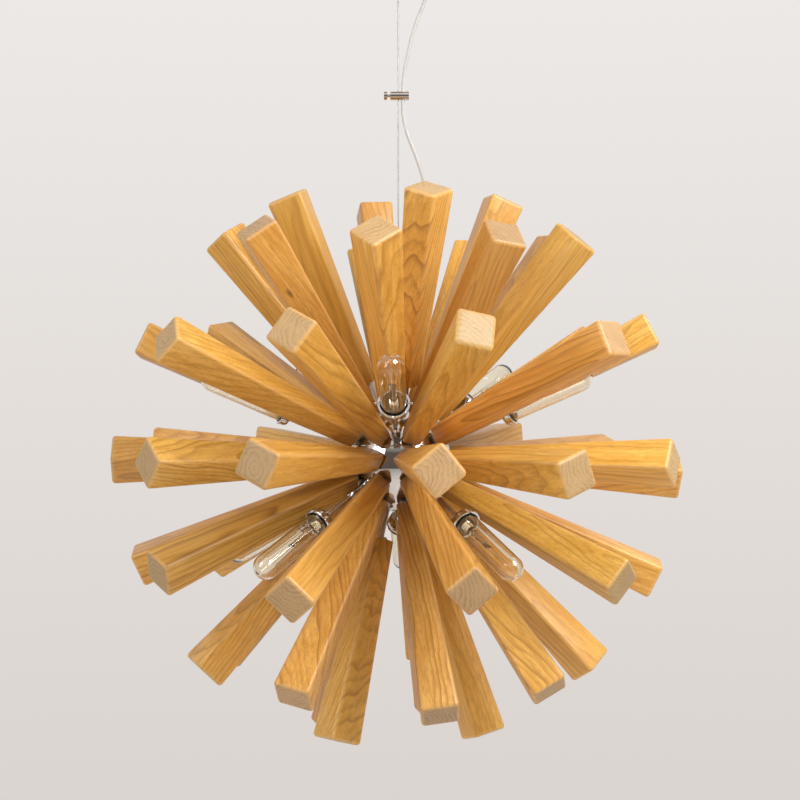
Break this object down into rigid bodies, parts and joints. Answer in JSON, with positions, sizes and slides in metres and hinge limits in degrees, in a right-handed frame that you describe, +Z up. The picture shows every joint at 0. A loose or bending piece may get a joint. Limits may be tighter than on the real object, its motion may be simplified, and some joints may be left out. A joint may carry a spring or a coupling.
{
  "type": "orb chandelier",
  "caption": "pendant orb of tapered wooden bars radiating from a chrome ball, with clear tubular lamps between them, hung from a ceiling canopy on a steel wire",
  "frame": {"origin": "middle of the ceiling bracket's upper face, on the ceiling", "axes": "+Z up along the suspension wire, -Y towards the viewer of the picture, +X to the right in it"},
  "size_m": [0.6012, 0.6013, 0.8457],
  "materials": {
    "bar_wood": "honey-coloured hardwood with a thin satin lacquer, paler sanded end grain",
    "hub_chrome": "mirror-polished chrome plate",
    "lamp_chrome": "polished chrome plate",
    "fitting_chrome": "polished chrome plate",
    "plated_steel": "zinc-plated steel",
    "wire_steel": "fine stranded steel wire",
    "clear_cord": "clear flexible insulation over tinned conductors",
    "clear_plastic": "frosted clear plastic",
    "terminal_plastic": "off-white moulded plastic",
    "holder_ceramic": "unglazed white lamp ceramic",
    "bulb_glass": "clear blown glass",
    "bulb_mount": "lamp base with clear glass stem and fine wires"
  },
  "bodies": {
    "ceiling": {"ceiling_bracket": "plated_steel", "canopy": "fitting_chrome", "canopy_screws": "fitting_chrome", "terminal_block": "terminal_plastic", "wire_gripper": "fitting_chrome", "gripper_nut": "plated_steel", "gripper_spring": "plated_steel", "cord_gland": "clear_plastic"},
    "nipple": {"gripper_nipple": "fitting_chrome"},
    "pendant": {"suspension_wire": "wire_steel", "power_cord": "clear_cord", "cord_clamp": "fitting_chrome", "wire_anchor": "hub_chrome", "hub_upper_shell": "hub_chrome", "hub_lower_shell": "hub_chrome", "hub_tie_rod": "plated_steel", "hub_cap_nut": "hub_chrome", "lamp_wiring_block": "terminal_plastic", "hub_cord_bushing": "clear_plastic", "top_bars": "bar_wood", "upper_bars": "bar_wood", "shoulder_bars": "bar_wood", "equator_bars": "bar_wood", "belly_bars": "bar_wood", "lower_bars": "bar_wood", "bottom_bars": "bar_wood", "bar_studs": "plated_steel", "polar_studs": "plated_steel", "lamp_sleeves": "lamp_chrome", "lamp_collars": "lamp_chrome", "lamp_rods": "lamp_chrome", "lamp_cups": "lamp_chrome", "cup_screws": "lamp_chrome", "lamp_holders": "holder_ceramic"},
    "clamp_screw": {"clamp_thumb_screw": "fitting_chrome"},
    "bulb_1": {"bulb_envelope_1": "bulb_glass", "bulb_mount_1": "bulb_mount"},
    "bulb_2": {"bulb_envelope_2": "bulb_glass", "bulb_mount_2": "bulb_mount"},
    "bulb_3": {"bulb_envelope_3": "bulb_glass", "bulb_mount_3": "bulb_mount"},
    "bulb_4": {"bulb_envelope_4": "bulb_glass", "bulb_mount_4": "bulb_mount"},
    "bulb_5": {"bulb_envelope_5": "bulb_glass", "bulb_mount_5": "bulb_mount"},
    "bulb_6": {"bulb_envelope_6": "bulb_glass", "bulb_mount_6": "bulb_mount"},
    "bulb_7": {"bulb_envelope_7": "bulb_glass", "bulb_mount_7": "bulb_mount"},
    "bulb_8": {"bulb_envelope_8": "bulb_glass", "bulb_mount_8": "bulb_mount"},
    "bulb_9": {"bulb_envelope_9": "bulb_glass", "bulb_mount_9": "bulb_mount"},
    "bulb_10": {"bulb_envelope_10": "bulb_glass", "bulb_mount_10": "bulb_mount"}
  },
  "joints": [
    {"name": "pendant_swing", "type": "hinge", "parent": "ceiling", "child": "pendant", "pos_m": [0, 0, -0.054], "axis": [1, 0, 0], "range_deg": [-8, 8]},
    {"name": "nipple_press", "type": "slide", "parent": "ceiling", "child": "nipple", "axis": [0, 0, 1], "range_m": [0, 0.003], "stiffness_N_per_m": 800, "springref_m": -0.002, "deforming": ["gripper_spring"]},
    {"name": "clamp_screw_turn", "type": "hinge", "parent": "pendant", "child": "clamp_screw", "pos_m": [-0.01, 0, -0.165], "axis": [-1, 0, 0], "range_deg": [0, 720]},
    {"name": "bulb_1_pull", "type": "slide", "parent": "pendant", "child": "bulb_1", "axis": [-0.0314, -0.8982, 0.4384], "range_m": [0, 0.03]},
    {"name": "bulb_2_pull", "type": "slide", "parent": "pendant", "child": "bulb_2", "axis": [0.865, -0.3148, 0.3907], "range_m": [0, 0.03]},
    {"name": "bulb_3_pull", "type": "slide", "parent": "pendant", "child": "bulb_3", "axis": [0.558, 0.7142, 0.4226], "range_m": [0, 0.03]},
    {"name": "bulb_4_pull", "type": "slide", "parent": "pendant", "child": "bulb_4", "axis": [-0.5068, 0.7514, 0.4226], "range_m": [0, 0.03]},
    {"name": "bulb_5_pull", "type": "slide", "parent": "pendant", "child": "bulb_5", "axis": [-0.8891, -0.2382, 0.3907], "range_m": [0, 0.03]},
    {"name": "bulb_6_pull", "type": "slide", "parent": "pendant", "child": "bulb_6", "axis": [0.5064, -0.7233, -0.4695], "range_m": [0, 0.03]},
    {"name": "bulb_7_pull", "type": "slide", "parent": "pendant", "child": "bulb_7", "axis": [0.8444, 0.2581, -0.4695], "range_m": [0, 0.03]},
    {"name": "bulb_8_pull", "type": "slide", "parent": "pendant", "child": "bulb_8", "axis": [0.0286, 0.8187, -0.5736], "range_m": [0, 0.03]},
    {"name": "bulb_9_pull", "type": "slide", "parent": "pendant", "child": "bulb_9", "axis": [-0.8219, 0.2991, -0.4848], "range_m": [0, 0.03]},
    {"name": "bulb_10_pull", "type": "slide", "parent": "pendant", "child": "bulb_10", "axis": [-0.6022, -0.6457, -0.4695], "range_m": [0, 0.03]}
  ]
}
